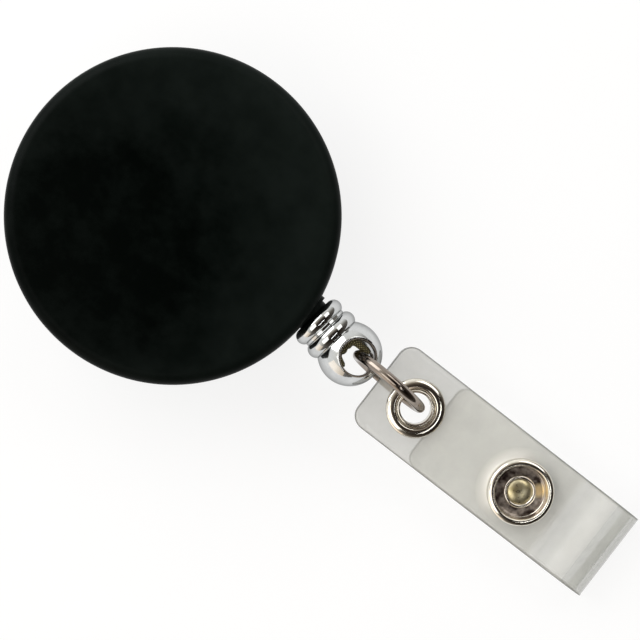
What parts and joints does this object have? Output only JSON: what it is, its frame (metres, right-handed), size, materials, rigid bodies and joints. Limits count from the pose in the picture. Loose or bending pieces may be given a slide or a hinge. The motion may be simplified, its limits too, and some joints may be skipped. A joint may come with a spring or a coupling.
{
  "type": "retractable badge reel",
  "caption": "Round belt-clip badge reel: spring spool and cord in a flat case, beaded ball ferrule, wire ring and a folded clear strap closed by a snap.",
  "frame": {"origin": "on the spool axis, on the flat underside of the belt clip that the reel lies on", "axes": "+Z out of the front face along the spool axis, +X toward the cord outlet and strap, +Y to the left of the strap seen from the front"},
  "size_m": [0.084, 0.0382, 0.0142],
  "materials": {
    "case_black": "satin black moulded plastic",
    "post_plastic": "moulded",
    "spool_plastic": "natural moulded",
    "cord": "braided cord, dark olive",
    "chrome": "polished chrome plate",
    "nickel": "polished nickel plate",
    "steel": "nickel-plated pressed steel",
    "spring_steel": "tempered strip",
    "vinyl": "clear soft vinyl, slightly grey"
  },
  "bodies": {
    "case": {"front_cover": "case_black", "rear_case": "case_black", "outlet_bush": "case_black", "arbor_post": "post_plastic", "spool_keeper": "steel", "clip_base": "steel", "clip_rivet": "steel", "rivet_washer": "steel"},
    "spool": {"spool": "spool_plastic", "spool_lid": "spool_plastic", "cord_winding": "cord", "power_spring": "spring_steel"},
    "clip_arm": {"clip_arm": "steel"},
    "cord_end": {"cord_lead": "cord", "cord_knot": "cord"},
    "ferrule": {"ferrule_neck": "chrome", "ferrule_collar": "chrome", "ferrule_ball": "chrome"},
    "ring": {"jump_ring": "nickel"},
    "strap": {"strap_upper": "vinyl", "strap_fold": "vinyl", "eyelet_barrel": "nickel", "eyelet_washer": "nickel", "snap_cap": "nickel", "snap_socket": "nickel", "snap_spring": "spring_steel"},
    "flap": {"strap_flap": "vinyl", "snap_stud": "nickel", "stud_post": "nickel"}
  },
  "joints": [
    {"name": "cord_pull", "type": "slide", "parent": "case", "child": "cord_end", "axis": [0.9917, -0.1288, 0], "range_m": [0, 0.6], "stiffness_N_per_m": 0.8, "springref_m": -0.625, "deforming": ["cord_lead"]},
    {"name": "spool_spin", "type": "hinge", "parent": "case", "child": "spool", "pos_m": [0, 0, 0.009], "axis": [0, 0, -1], "range_deg": [0, 2800], "deforming": ["power_spring"]},
    {"name": "clip_flex", "type": "hinge", "parent": "case", "child": "clip_arm", "pos_m": [-0.013, 0, 0.00215], "axis": [0, 1, 0], "range_deg": [0, 10], "stiffness_Nm_per_rad": 0.15},
    {"name": "ferrule_spin", "type": "hinge", "parent": "cord_end", "child": "ferrule", "pos_m": [0.02537, 0.0002, 0.009], "axis": [0.9917, -0.1288, 0], "continuous": true},
    {"name": "ring_swing", "type": "hinge", "parent": "ferrule", "child": "ring", "pos_m": [0.0262, 0.00066, 0.009], "axis": [0, 0, 1], "range_deg": [-36, 26]},
    {"name": "strap_tilt", "type": "hinge", "parent": "ring", "child": "strap", "pos_m": [0.03085, 0.00047, 0.009], "axis": [0.04, 0.9968, -0.0698], "range_deg": [-90, 20]},
    {"name": "flap_open", "type": "hinge", "parent": "strap", "child": "flap", "pos_m": [0.06251, 0.00023, 0.00228], "axis": [0.0105, -0.9999, 0], "range_deg": [0, 165], "deforming": ["strap_fold", "snap_spring"]}
  ],
  "couplings": [
    {"joint": "spool_spin", "follows": "cord_pull", "rad_per_m": 81.3}
  ]
}
